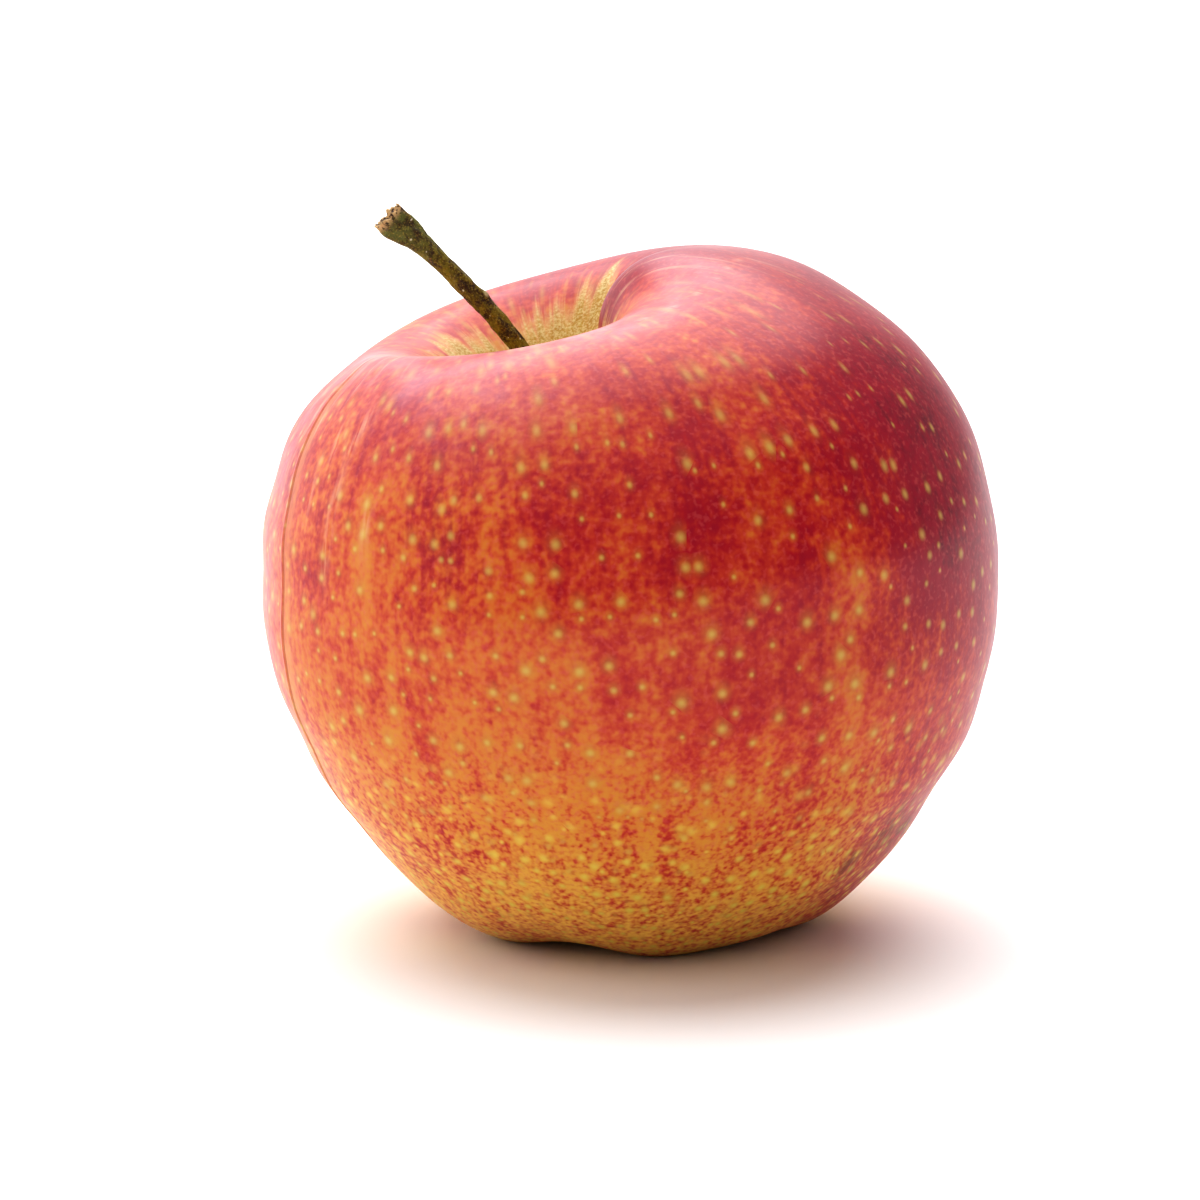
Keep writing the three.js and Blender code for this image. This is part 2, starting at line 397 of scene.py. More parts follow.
skinLayout = {
    "tubeRadius": 37,    # of the tube that the skin is unrolled from
    # mm along the skin from the stem: how much red, how dark a red, how yellow the ground
    "bands": np.array([
        (0, 0.10, 0.0, 0.9), (8, 0.25, 0.0, 0.9), (14, 0.55, 0.05, 0.7), (20, 0.80, 0.15, 0.4),
        (30, 0.80, 0.25, 0.15), (45, 0.70, 0.25, 0.1), (58, 0.62, 0.15, 0.2),
        # towards the basin the ground grows yellower and paler: partly its own yellow, partly
        # painted light bounced up from the floor
        (72, 0.52, 0.05, 0.35), (88, 0.46, 0.0, 0.6), (98, 0.43, 0.0, 0.85),
        (108, 0.38, 0.0, 1.1), (125, 0.1, 0.0, 1.3)]),
    # longitude, mm along the skin, spread round, spread along, more red, darker, more yellow
    "patches": [
        (335, 48, 22, 16, 0.35, 0.60, -0.2),   # sun side
        (10, 45, 40, 30, 0.40, 0.45, -0.3),
        (55, 50, 30, 26, 0.30, 0.35, -0.2),
        (100, 58, 22, 24, 0.05, 0.10, 0.1),
        (140, 60, 24, 30, -0.22, 0.0, 0.3),    # shaded back
        (172, 45, 14, 26, 0.10, 0.10, 0.0),
        (290, 46, 20, 9, 0.20, 0.15, -0.2),    # dark band across the front
        (262, 51, 16, 6, 0.14, 0.12, -0.1),
        (290, 62, 12, 6, 0.26, 0.15, -0.1),
        (245, 47, 17, 9, -0.08, 0.0, 0.1),    # ochre patch
        (245, 37, 9, 4, -0.14, -0.1, 0.2),
        (228, 52, 6, 8, -0.12, -0.1, 0.1),
        (213, 45, 8, 14, 0.02, 0.15, 0.0),
        (243, 52, 9, 7, 0.08, 0.25, 0.0),
        (240, 72, 20, 12, -0.10, 0.0, 0.0),
        (330, 31, 8, 3, -0.18, -0.3, 0.0),     # bright patch below the high lobe
        (295, 42, 3, 9, -0.12, -0.25, 0.1),
        (325, 60, 12, 12, 0.10, 0.25, 0.0),
        (268, 66, 3.5, 5, 0.30, 0.15, 0.0),    # small red flames
        (236, 72, 2.5, 5, 0.32, 0.12, 0.0),
        (300, 79, 2, 3, 0.25, 0.10, 0.0),
        (283, 70, 8, 5, 0.12, 0.05, 0.0),
        (306, 58, 3.5, 6, -0.14, -0.1, 0.2),  # golden strip before the sun side
        (332, 78, 12, 18, 0.22, 0.10, -0.2),
        (350, 80, 16, 20, 0.25, 0.15, -0.1),
        (347, 88, 14, 12, 0.34, 0.12, -0.4),
        (300, 72, 22, 7, 0.08, 0.0, -0.1),
        (280, 97, 25, 5, -0.14, 0.0, 0.3),
        (252, 92, 16, 8, -0.04, 0.0, 0.1),
        (12, 19, 38, 7, 0.25, 0.60, -0.3),    # mauve crown of the high lobe
        (345, 15, 18, 5, 0.20, 0.40, -0.2),
        (80, 25, 45, 7, 0.10, 0.35, -0.1),
    ],
    # russet rays that climb out of the stem cavity: longitude, spread, climb in mm
    "rays": [(66, 5, 4.5), (78, 5, 1.5), (89, 3, 1.5), (99, 5, 0.5), (115, 7, -2), (150, 14, 3),
             (172, 7, 2), (190, 9, 3), (300, 45, -1), (5, 30, -6)],
    # thin pale lines: longitude at its start and end, start and end in mm, width in degrees
    "lines": [(2, 354, 11, 27, 1.5), (340, 334, 12, 22, 1.1), (350, 343, 13, 25, 0.7),
              (205, 201, 16, 40, 1.0), (210, 208, 14, 34, 0.7), (216, 213, 15, 30, 0.7),
              (198, 195, 18, 44, 0.8), (222, 222, 17, 28, 0.6), (190, 188, 18, 36, 0.7),
              (220, 217, 36, 41, 1.3), (217, 216, 45, 54, 1.0), (226, 225, 47, 51, 0.7),
              (213, 212, 37, 41, 0.8), (209, 209, 44, 47, 0.7)],
    # brown scuffs in the pressed places: longitude, mm along the skin, spread round and along
    "scuffs": [(331, 86, 5, 4), (341, 88, 5, 2.5), (322, 90, 3, 2.5)],
    # painted sheen on the shoulders and flanks, a pale pink veil in the colour where the skin
    # catches the bright light: longitude, mm along the skin, spread round and along, strength
    "paintedSheen": [(328, 25, 22, 5.5, 0.16), (280, 22, 28, 5, 0.42), (205, 25, 35, 7, 0.32),
              (238, 34, 26, 8, 0.22),
              (5, 20, 28, 6, 0.1), (85, 24, 38, 7, 0.08), (150, 24, 25, 5, 0.12),
              (190, 55, 10, 32, 0.32), (353, 68, 8, 16, 0.25)],
    # mm along the skin from the stem: how closely the pattern is packed along the fruit
    "stretch": np.array([(0, 0.6), (30, 0.6), (42, 0.75), (55, 1), (75, 1), (88, 1.15),
                         (98, 1.4), (106, 1.8), (125, 2)]),
}


def paintSkin(piece, longitude, along):
    layout = skinLayout
    turn, length = longitude[None, :], along[:, None]
    red, dark, yellow = [np.interp(length, layout["bands"][:, 0], layout["bands"][:, column])
                         + 0 * turn for column in (1, 2, 3)]
    for centre, at, spread, reach, moreRed, darker, moreYellow in layout["patches"]:
        share = bell(turnBetween(turn, centre), spread) * bell(length - at, reach)
        red = red + moreRed * share
        dark = dark + darker * share
        yellow = yellow + moreYellow * share
    # the skin laid on a tube: x and y go round it, z along it, in mm, with the length drawn out
    # towards the basin and pressed together towards the stem
    stretch = np.interp(along, layout["stretch"][:, 0], layout["stretch"][:, 1])
    drawnOut = np.concatenate([[0], np.cumsum(np.diff(along) * stretch[1:])]) + along[0]
    radius = layout["tubeRadius"]
    tube = np.stack([radius * cosDeg(turn) + 0 * length, radius * sinDeg(turn) + 0 * length,
                     drawnOut[:, None] + 0 * turn], axis=-1)
    gap = fromSeam(turn, length)
    within = (easeBetween(seamLine["start"], seamLine["start"] + 10, length)
              * easeBetween(seamLine["end"], seamLine["end"] - 10, length))
    line = bell(gap, seamLine["width"]) * within
    stripe = bell(gap - seamLine["stripe"] * 0.6, seamLine["stripe"] * 0.6) * within

    def wholeSkin(values, atStem, atBasin):
        flat = values.reshape(-1, 3) if values.ndim == 3 else values.reshape(-1)
        return np.concatenate([[atStem], flat, [atBasin]])

    addAttribute(piece, "tube", wholeSkin(tube, (0, 0, 0), (0, 0, drawnOut[-1])))
    addAttribute(piece, "fromStem", wholeSkin(length + 0 * turn, 0, along[-1]))
    addAttribute(piece, "blush", wholeSkin(red, 0.1, 0.1))
    addAttribute(piece, "dusk", wholeSkin(dark, 0, 0))
    addAttribute(piece, "gold", wholeSkin(yellow, 1, 1))
    addAttribute(piece, "seam", wholeSkin(line, 0, 0))
    addAttribute(piece, "seamStripe", wholeSkin(stripe, 0, 0))
    climb = sum(rise * bell(turnBetween(turn, centre), spread)
                for centre, spread, rise in layout["rays"])
    addAttribute(piece, "russetEdge", wholeSkin(length - climb, 0, along[-1]))
    # pale lines fade in over 6 mm and out over 10 mm
    pale = 0 * length * turn
    for startTurn, endTurn, start, end, width in layout["lines"]:
        centre = np.interp(length, (start, end), (startTurn, endTurn))
        pale += bell(turnBetween(turn, centre), width) * (
            easeBetween(start - 3, start + 3, length) * easeBetween(end + 6, end - 4, length))
    addAttribute(piece, "paleLines", wholeSkin(np.minimum(pale, 1), 0, 0))
    scuff = sum(bell(turnBetween(turn, centre), spread) * bell(length - at, reach)
                for centre, at, spread, reach in layout["scuffs"])
    addAttribute(piece, "scuff", wholeSkin(np.minimum(scuff, 1), 0, 0))
    # painted sheen, a pale veil in the colour where the skin catches the light
    paintedSheen = sum(strength * bell(turnBetween(turn, centre), spread) * bell(length - at, reach)
                for centre, at, spread, reach, strength in layout["paintedSheen"])
    addAttribute(piece, "paintedSheen", wholeSkin(np.minimum(paintedSheen, 1), 0, 0))


print("growing the fruit")
fruit, fruitLongitude, fruitAlong = makeFruit()
paintSkin(fruit, fruitLongitude, fruitAlong)
print("fruit:", len(fruit.data.polygons), "faces,", round(fruitAlong[-1], 1),
      "mm from stem to basin")


# fruit: skin finish

skinFinish = {
    "groundYellow": "#dcb04a",
    "groundOrange": "#cf8c36",
    "thinRed": "#c8502e",
    "fullRed": "#b01c26",
    "crimson": "#98122e",
    "dusky": "#6e0f28",
    "lenticel": "#d0bd66",
    "lenticelRing": "#c2923c",
    "footPore": "#dccc60",
    "footRing": "#d9a940",
    # pale yellow of the foot, partly its own colour and partly painted bounce light from the floor
    "footOwnYellowAndBounce": "#f8cc66",
    "russet": "#dcb274",
    "russetDeep": "#b3953a",
    "russetSpeck": "#ece2ae",
    "paleLine": "#dfb08c",
    "scuff": "#74401c",
    # pale pink of the painted sheen
    "paintedSheen": "#deb4c6",
    "seamLine": "#a8662c",
    "seamStripe": "#cf8a45",
    "fleck": "#d0605a",
    # the level of red at which each layer starts, and at which it is full
    "thinRedFrom": (0.05, 0.8),
    "fullRedFrom": (0.45, 1.08),
    "crimsonFrom": (0.2, 0.85),
    "duskyFrom": (0.75, 1.5),
    # how strongly each pattern moves the red about
    "slowClouds": 0.6,
    "streaks": 0.55,
    "fibres": 0.5,
    "mottle": 0.5,
    "grain": 0.75,
    "footGrain": 1.7,    # how much stronger the grain is at the foot
    # how much of each colour shows where its mark is full
    "flecking": 0.3,
    "footOwnYellowAndBounceShare": 0.7,
    "footPoreShare": 0.85,
    "footRingShare": 0.55,
    "poreShare": 0.56,
    "ringShare": 0.5,
    "ringShareInDusk": 0.05,
    "stripeShare": 0.45,
    "seamShare": 0.6,
    "paleLineShare": 0.6,
    "scuffShare": 0.75,
    "russetShare": 0.8,
    "russetSpeckShare": 0.5,
    # mm along the skin from the stem, between which things change
    "footGrainFrom": (58.0, 84.0),
    "footOwnYellowAndBounceFrom": (78.0, 102.0),
    "footPoresFrom": (66.0, 94.0),
    "smallPoresThinFrom": (70.0, 90.0),
    "poresFrom": (24.0, 48.0),
    "cheekCoatFrom": (20.0, 44.0),
    "pores": {"Spacing": 3.1, "Size": 0.62, "Halo": 1.25, "Tail": 1.35, "Share": 0.85},
    "footPores": {"Spacing": 2.8, "Size": 0.82, "Halo": 1.3, "Tail": 1.0, "Share": 0.92},
    "poresEndAt": (113.5, 115.0),    # mm round the skin from the middle of the front
    "russetSpeckle": {"Cover": 0.47, "Scale": 3.8, "Depth": 1.5, "Softness": 0.22},
    "russetRaggedness": 13.0,
    "roughness": 0.44,
    "specular": 0.22,
    "coat": 0.25,
    "coatOnShoulder": 0.45,
    "coatRoughness": 0.28,
    "subsurface": 0.05,
    "subsurfaceRadius": (1.0, 0.35, 0.12),
    "subsurfaceScale": 0.003,
    "peelBump": 0.12,
    "creaseDepth": 6.0,
}


def makeSkin():
    finish = skinFinish
    material, tree, shader = newMaterial("appleSkin")
    spot = placeInMm(tree)
    tube = readAttribute(tree, "tube", "Vector")
    blush, dusk = readAttribute(tree, "blush"), readAttribute(tree, "dusk")
    gold, fromStem = readAttribute(tree, "gold"), readAttribute(tree, "fromStem")

    def wave(fac, strength):
        return calc(tree, "MULTIPLY", calc(tree, "SUBTRACT", fac, 0.5), strength)

    def painted(under, mask, share, name):
        return mixColour(tree, calc(tree, "MULTIPLY", mask, share), under, colour(finish[name]))

    slow = wave(clouds(tree, spot, 0.13, 2.0), finish["slowClouds"])
    streak = wave(clouds(tree, stretched(tree, tube, (1, 1, 0.1)), 0.42, 3.0, 0.6),
                  finish["streaks"])
    mottle = wave(clouds(tree, spot, 0.5, 1.0), finish["mottle"])
    # the grain is finer towards the foot
    foot = ease(tree, fromStem, *finish["footGrainFrom"])
    grain = addNode(tree, "Mix", {0: foot, 2: clouds(tree, spot, 1.3, 1.0, 0.4),
                                  3: clouds(tree, spot, 1.75, 1.0, 0.4)}, data_type="FLOAT")
    grain = calc(tree, "MULTIPLY", wave(grain.outputs[0], finish["grain"]),
                 ease(tree, fromStem, *finish["footGrainFrom"], 1.0, finish["footGrain"]))
    fibre = wave(clouds(tree, stretched(tree, tube, (1, 1, 0.08)), 1.3, 2.0), finish["fibres"])
    coarse = calc(tree, "ADD", slow, streak)
    small = calc(tree, "ADD", mottle, grain)

    # ground colour, then the red blush in two layers, then the sun side's crimson
    ripe = calc(tree, "ADD", gold, calc(tree, "ADD", slow, small))
    ground = mixColour(tree, ease(tree, ripe, 0.0, 1.0), colour(finish["groundOrange"]),
                       colour(finish["groundYellow"]))
    # the foot is painted paler and yellower, partly its own yellow ground and partly painted light
    # bounced up from the floor
    atFoot = ease(tree, fromStem, *finish["footOwnYellowAndBounceFrom"], 0.0, finish["footOwnYellowAndBounceShare"])
    ground = mixColour(tree, atFoot, ground, colour(finish["footOwnYellowAndBounce"]))
    level = calc(tree, "ADD", blush, calc(tree, "ADD", coarse, small))
    skin = mixColour(tree, ease(tree, level, *finish["thinRedFrom"]), ground,
                     colour(finish["thinRed"]))
    skin = mixColour(tree, ease(tree, level, *finish["fullRedFrom"]), skin,
                     colour(finish["fullRed"]))
    depth = calc(tree, "ADD", calc(tree, "ADD", dusk, coarse), calc(tree, "MULTIPLY", small, 0.8))
    depth = calc(tree, "ADD", depth, fibre)
    skin = mixColour(tree, ease(tree, depth, *finish["crimsonFrom"]), skin,
                     colour(finish["crimson"]))
    skin = mixColour(tree, ease(tree, depth, *finish["duskyFrom"]), skin, colour(finish["dusky"]))

    # fine pale flecks, clearest where the red is deep
    flecks = ease(tree, clouds(tree, spot, 1.9, 1.0, 0.4), 0.5, 0.75)
    skin = painted(skin, flecks, finish["flecking"], "fleck")

    # pores on the unrolled skin, left out along the line at the back where it was cut open
    axes = addNode(tree, "SeparateXYZ", {0: tube})
    towardsFront = calc(tree, "MULTIPLY", axes.outputs["Y"], -1.0)
    angle = calc(tree, "ARCTAN2", axes.outputs["X"], towardsFront)
    around = calc(tree, "MULTIPLY", angle, skinLayout["tubeRadius"])
    unrolled = addNode(tree, "CombineXYZ", {0: around, 1: axes.outputs["Z"]}).outputs[0]
    away = ease(tree, calc(tree, "ABSOLUTE", around), *finish["poresEndAt"], 1.0, 0.0)
    pores = useGroup(tree, dots, {"Vector": unrolled, **finish["pores"]})
    # at the foot the pores are larger and yellower
    footPores = useGroup(tree, dots, {"Vector": unrolled, **finish["footPores"]})
    atFoot = calc(tree, "MULTIPLY", away, ease(tree, fromStem, *finish["footPoresFrom"]))
    footPore = calc(tree, "MULTIPLY", footPores.outputs["Mask"], atFoot)
    footRing = calc(tree, "MULTIPLY", footPores.outputs["Ring"], atFoot)
    skin = painted(skin, footRing, finish["footRingShare"], "footRing")
    skin = painted(skin, footPore, finish["footPoreShare"], "footPore")
    away = calc(tree, "MULTIPLY", away,
                ease(tree, fromStem, *finish["smallPoresThinFrom"], 1.0, 0.4))
    ring = calc(tree, "MULTIPLY", pores.outputs["Ring"], away)
    ringShare = ease(tree, dusk, 0.1, 0.6, finish["ringShare"], finish["ringShareInDusk"])
    skin = painted(skin, ring, ringShare, "lenticelRing")
    pore = calc(tree, "MULTIPLY", pores.outputs["Mask"], away)
    pore = calc(tree, "MULTIPLY", pore, ease(tree, fromStem, *finish["poresFrom"], 0.1, 1.0))
    skin = painted(skin, pore, finish["poreShare"], "lenticel")

    # seam line with its stripe
    skin = painted(skin, readAttribute(tree, "seamStripe"), finish["stripeShare"], "seamStripe")
    skin = painted(skin, readAttribute(tree, "seam"), finish["seamShare"], "seamLine")

    # thin pale lines over the rim, brown scuffs where the flank was pressed
    fine = clouds(tree, stretched(tree, tube, (1, 1, 0.2)), 1.2, 2.0)
    line = calc(tree, "MULTIPLY", readAttribute(tree, "paleLines"), ease(tree, fine, 0.35, 0.6))
    skin = painted(skin, line, finish["paleLineShare"], "paleLine")
    pressed = readAttribute(tree, "scuff")
    scuff = calc(tree, "MULTIPLY", pressed, ease(tree, clouds(tree, spot, 0.9, 3.0), 0.35, 0.6))
    skin = painted(skin, scuff, finish["scuffShare"], "scuff")

    # painted sheen: a pale pink veil over the colour where the skin catches the bright light,
    # broken up by the clouds
    paintedSheen = calc(tree, "MULTIPLY", readAttribute(tree, "paintedSheen"),
                 ease(tree, clouds(tree, spot, 0.35, 3.0), 0.25, 0.75, 0.45, 1.0))
    skin = mixColour(tree, paintedSheen, skin, colour(finish["paintedSheen"]))

    # russet in the stem cavity, with rays that climb its wall
    ragged = wave(clouds(tree, stretched(tree, tube, (1, 1, 0.12)), 0.3, 3.0, 0.6),
                  finish["russetRaggedness"])
    edge = calc(tree, "ADD", readAttribute(tree, "russetEdge"), ragged)
    russet = ease(tree, edge, 17.5, 13.5)
    deep = ease(tree, edge, 16.0, 12.0)
    rust = mixColour(tree, deep, colour(finish["russet"]), colour(finish["russetDeep"]))
    skin = mixColour(tree, calc(tree, "MULTIPLY", russet, finish["russetShare"]), skin, rust)
    speck = useGroup(tree, stipple, {"Vector": spot, **finish["russetSpeckle"]}).outputs["Mask"]
    speckShare = ease(tree, edge, 16.5, 13.5, 0.0, finish["russetSpeckShare"])
    skin = painted(skin, speck, speckShare, "russetSpeck")
    tree.links.new(skin, shader.inputs["Base Color"])

    rough = calc(tree, "ADD", finish["roughness"], calc(tree, "MULTIPLY", mottle, 0.15))
    tree.links.new(calc(tree, "ADD", rough, calc(tree, "MULTIPLY", russet, 0.25)),
                   shader.inputs["Roughness"])
    peel = calc(tree, "ADD", clouds(tree, spot, 1.1, 2.0), calc(tree, "MULTIPLY", pore, 0.8))
    creases = calc(tree, "MULTIPLY", clouds(tree, stretched(tree, tube, (1, 1, 0.2)), 1.0, 3.0),
                   calc(tree, "MULTIPLY", pressed, finish["creaseDepth"]))
    peel = calc(tree, "ADD", peel, creases)
    bump = addNode(tree, "Bump", {"Height": peel, "Strength": finish["peelBump"],
                                  "Distance": 0.0004})
    tree.links.new(bump.outputs[0], shader.inputs["Normal"])
    shader.inputs["Specular IOR Level"].default_value = finish["specular"]
    # the shoulders are the glossiest
    coat = ease(tree, fromStem, *finish["cheekCoatFrom"], finish["coatOnShoulder"], finish["coat"])
    tree.links.new(coat, shader.inputs["Coat Weight"])
    shader.inputs["Coat Roughness"].default_value = finish["coatRoughness"]
    shader.inputs["Subsurface Weight"].default_value = finish["subsurface"]
    shader.inputs["Subsurface Radius"].default_value = finish["subsurfaceRadius"]
    shader.inputs["Subsurface Scale"].default_value = finish["subsurfaceScale"]
    return material


place(fruit, "fruit", makeSkin())


# stem

stemShape = {
    # middle line from the cavity to the broken end, in mm
    "route": np.array([(-6.7, 0, 50.6), (-8.4, -0.2, 55.2), (-11.6, -0.4, 60.1),
                       (-15.9, -0.6, 65.1), (-20.3, -0.8, 69.4), (-22.9, -1, 71.8),
                       (-24.6, -1.1, 73.7)]),
    "radius": 0.92,
    "footRadius": 1.35,
    "footReach": 0.12,
    "endRadius": 1.52,
    "endReach": 0.13,
    "rings": 230,
    "sides": 84,
    "endRings": 16,
    "endLean": 0.6,    # how far the flare leans towards the lower side
    "scarAt": 0.57,
    "scarHeight": 0.17,
    "lumps": 0.09,
    "ridges": 0.05,
    "grooves": 0.05,
    "tear": 0.42,     # how ragged the broken end is
    "hollow": 0.5,    # how deep its middle is
    "sunk": 0.6,      # how far the foot goes into the fruit
    "seed": (3.1, 8.7, 1.9),
}


def noiseAt(points, scale, seed, octaves=3):
    # smooth lumps between about -1 and 1, the same at each run
    shift = Vector(seed)
    flat = points.reshape(-1, 3) * scale
    values = [noise.fractal(Vector(point) + shift, 0.9, 2.1, octaves) for point in flat]
    return np.array(values).reshape(points.shape[:-1])


def lineThrough(route, count, bend=4):
    # smooth line close by the points of a route, in even steps, with its direction
    length = lengthsAlong(route)
    even = np.linspace(0, length[-1], count)
    line = np.stack([np.polyval(np.polyfit(length, route[:, axis], bend), even)
                     for axis in range(3)], axis=-1)
    ahead = np.gradient(line, axis=0)
    return line, ahead / np.linalg.norm(ahead, axis=1, keepdims=True)


def sweep(line, ahead, across, up):
    # rings round a line; across and up are (ring, side) offsets in mm
    sideways = np.array([0, 1, 0]) - ahead * ahead[:, 1:2]
    sideways /= np.linalg.norm(sideways, axis=1, keepdims=True)
    upwards = np.cross(ahead, sideways)
    return (line[:, None, :] + across[..., None] * sideways[:, None, :]
            + up[..., None] * upwards[:, None, :])


def makeStem():
    shape = stemShape
    line, ahead = lineThrough(shape["route"], shape["rings"])
    t = np.linspace(0, 1, shape["rings"])[:, None]
    angle = np.linspace(0, 2 * math.pi, shape["sides"], endpoint=False)[None, :]
    flare = bell(1 - t, shape["endReach"])
    radius = (shape["radius"] + (shape["endRadius"] - shape["radius"]) * flare
              + (shape["footRadius"] - shape["radius"]) * bell(t, shape["footReach"]))
    length = lengthsAlong(line)[:, None]
    aroundBark = np.stack([np.cos(angle) + 0 * t, np.sin(angle) + 0 * t,
                           length / 2.2 + 0 * angle], axis=-1)
    lumps = noiseAt(aroundBark, 1.1, shape["seed"])
    twist = angle + 0.05 * length + 0.4 * np.sin(length / 4)
    ridges = np.cos(5 * twist) * 0.6 + np.cos(8 * twist + 1.3) * 0.4
    grooves = noiseAt(aroundBark * np.array([2.2, 2.2, 0.35]), 1.6, shape["seed"])
    skin = shape["lumps"] * lumps + shape["ridges"] * ridges + shape["grooves"] * grooves
    # the end is wider across the lean
    oval = 1 + 0.12 * flare * np.sin(angle) ** 2 - 0.1 * flare * np.cos(angle) ** 2
    radius = (radius + skin * (1 + flare)) * oval
    # small scar on the near side
    scar = bell(t - shape["scarAt"], 0.016) * bell(turnBetween(np.degrees(angle), 262), 34)
    radius = radius + shape["scarHeight"] * scar * (1 + 0.5 * grooves)
    # the flare leans towards the lower side
    rings = sweep(line, ahead, radius * np.cos(angle),
                  radius * np.sin(angle) + shape["endLean"] * flare ** 1.5)

    # torn end: the last rings are drawn out unevenly, then close over a hollow
    tear = noiseAt(aroundBark[-1:] * np.array([1.6, 1.6, 0]), 1.5, shape["seed"], 5)[0]
    lip = easeBetween(0.94, 1, t)
    rings = rings + (shape["tear"] * tear * lip)[..., None] * ahead[-1]
    inner = []
    for step in range(1, shape["endRings"]):
        share = 1 - step / shape["endRings"]
        flatRing = line[-1] + (rings[-1] - line[-1]) * share
        pits = noiseAt(flatRing, 2.4, shape["seed"], 5)
        drop = -shape["hollow"] * (1 - share ** 3) + 0.3 * pits * (1 - share ** 6)
        inner.append(flatRing + drop[:, None] * ahead[-1])
    rings = np.concatenate([rings, np.array(inner)])

    seat = seatFor("stem", rings)
    first = line[0] - ahead[0] * shape["sunk"]
    rings[:6] -= ahead[0] * shape["sunk"] * np.linspace(1, 0, 7)[:6, None, None]
    last = inner[-1].mean(axis=0)
    piece = ringedMesh("apple_stem", seat(rings), seat(first), seat(last))
    count = shape["sides"]
    along = np.concatenate([np.repeat(t[:, 0], count), np.ones((shape["endRings"] - 1) * count)])
    torn = np.concatenate([(easeBetween(0.965, 0.995, t + 0.012 * tear) + 0 * angle).ravel(),
                           np.ones((shape["endRings"] - 1) * count)])
    relief = np.concatenate([(ridges * 0.5 + lumps).ravel(),
                             np.zeros((shape["endRings"] - 1) * count)])
    inside = (shape["endRings"] - 1) * count
    # angle and length as a flat sheet in mm, turned so that it is cut on the far side
    bark = np.stack([np.radians(turnBetween(np.degrees(angle), 180)) + 0 * t, length + 0 * angle,
                     0 * t * angle], axis=-1)
    bark = np.concatenate([[(0, 0, 0)], bark.reshape(-1, 3), np.zeros((inside + 1, 3))])
    pale = np.concatenate([[0], scar.ravel(), np.zeros(inside + 1)])
    addAttribute(piece, "bark", bark)
    addAttribute(piece, "scar", pale)
    addAttribute(piece, "along", np.concatenate([[0], along, [1]]))
    addAttribute(piece, "torn", np.concatenate([[0], torn, [1]]))
    addAttribute(piece, "relief", np.concatenate([[0], relief, [0]]))
    return piece


stemFinish = {
    "olive": "#7f7012",
    "brown": "#3f280a",
    "green": "#5f6a38",
    # warm brown of the raised bark, partly its own colour and partly a painted highlight on its
    # ridges
    "warmAndRidgeHighlight": "#b07c3c",
    "fleck": "#b8a24a",
    "scar": "#cdbf9a",
    "torn": "#c8a474",
    "tornDark": "#3e220e",
    "dot": "#e9e2c4",
    "warmSpeckle": {"Cover": 0.3, "Scale": 3.2, "Depth": 1.6, "Softness": 0.12},
    "flecks": {"Cover": 0.34, "Scale": 5.5, "Depth": 1.8, "Softness": 0.15},
    "fibres": {"Cover": 0.4, "Scale": 2.2, "Depth": 1.8, "Softness": 0.15},
    "whiteDots": {"Spacing": 1.5, "Size": 0.17, "Halo": 0.2, "Tail": 1.0, "Share": 0.45},
    "greenShare": 0.8,
    "warmShare": 0.8,
    "fleckShare": 0.5,
    "scarShare": 0.75,
    "roughness": (0.5, 0.75),
    "barkBump": 0.5,
}


def makeBark():
    finish = stemFinish
    material, tree, shader = newMaterial("stemBark")
    spot = placeInMm(tree)
    along, torn = readAttribute(tree, "along"), readAttribute(tree, "torn")
    relief = readAttribute(tree, "relief")
    patch = clouds(tree, spot, 0.9, 4.0, 0.65)
    bark = mixColour(tree, ease(tree, patch, 0.4, 0.6), colour(finish["brown"]),
                     colour(finish["olive"]))
    tip = calc(tree, "MULTIPLY", ease(tree, along, 0.72, 0.92), ease(tree, patch, 0.3, 0.6))
    bark = mixColour(tree, calc(tree, "MULTIPLY", tip, finish["greenShare"]), bark,
                     colour(finish["green"]))
    # warm brown on the raised bark: partly its own colour, partly a painted highlight on the
    # ridges
    warmAndRidgeHighlight = useGroup(tree, stipple, {"Vector": spot, **finish["warmSpeckle"]}).outputs["Mask"]
    warmAndRidgeHighlight = calc(tree, "MULTIPLY", warmAndRidgeHighlight, ease(tree, relief, 0.0, 0.9))
    bark = mixColour(tree, calc(tree, "MULTIPLY", warmAndRidgeHighlight, finish["warmShare"]), bark,
                     colour(finish["warmAndRidgeHighlight"]))
    fleck = useGroup(tree, stipple, {"Vector": spot, **finish["flecks"]}).outputs["Mask"]
    bark = mixColour(tree, calc(tree, "MULTIPLY", fleck, finish["fleckShare"]), bark,
                     colour(finish["fleck"]))
    sheet = readAttribute(tree, "bark", "Vector")
    marks = useGroup(tree, dots, {"Vector": sheet, **finish["whiteDots"]}).outputs["Mask"]
    bark = mixColour(tree, marks, bark, colour(finish["dot"]))
    scar = ease(tree, readAttribute(tree, "scar"), 0.3, 0.9, 0.0, finish["scarShare"])
    bark = mixColour(tree, scar, bark, colour(finish["scar"]))
    # the torn end shows its fibres
    fibre = useGroup(tree, stipple, {"Vector": spot, **finish["fibres"]}).outputs["Mask"]
    wood = mixColour(tree, fibre, colour(finish["torn"]), colour(finish["tornDark"]))
    bark = mixColour(tree, torn, bark, wood)
    tree.links.new(bark, shader.inputs["Base Color"])
    grain = clouds(tree, spot, 3.0, 4.0, 0.65)
    bump = addNode(tree, "Bump", {"Height": grain, "Strength": finish["barkBump"],
                                  "Distance": 0.0003})
    tree.links.new(bump.outputs[0], shader.inputs["Normal"])
    tree.links.new(ease(tree, grain, 0.3, 0.7, *finish["roughness"]), shader.inputs["Roughness"])
    return material


stem = makeStem()
place(stem, "stem", makeBark())
print("stem:", len(stem.data.polygons), "faces")


# dried flower in the basin

